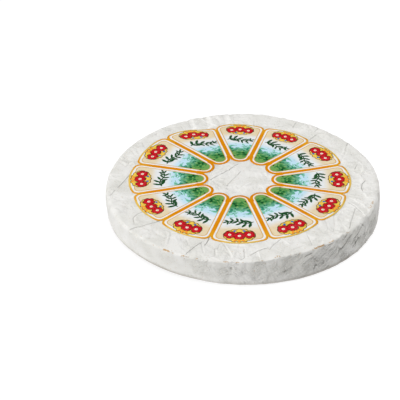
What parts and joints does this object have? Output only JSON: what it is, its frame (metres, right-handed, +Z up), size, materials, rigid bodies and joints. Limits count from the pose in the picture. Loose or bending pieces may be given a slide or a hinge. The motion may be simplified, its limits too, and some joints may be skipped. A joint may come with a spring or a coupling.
{
  "type": "brie wheel",
  "caption": "Low round wheel of soft white-rind cheese, whole and uncut, with a ring-shaped paper label of wedge-shaped panels on its top.",
  "frame": {"origin": "middle of the bounding box in plan, on the flat resting face", "axes": "+Z up through the wheel's thickness; -Y is the side that faces the camera in the picture, +X is to its right"},
  "size_m": [0.3416, 0.3424, 0.0369],
  "materials": {
    "rind": "matte, soft white mould rind",
    "label": "printed, slightly glossy paper"
  },
  "bodies": {
    "root": {"brie_wheel": "rind", "label_ring": "label"}
  },
  "joints": []
}
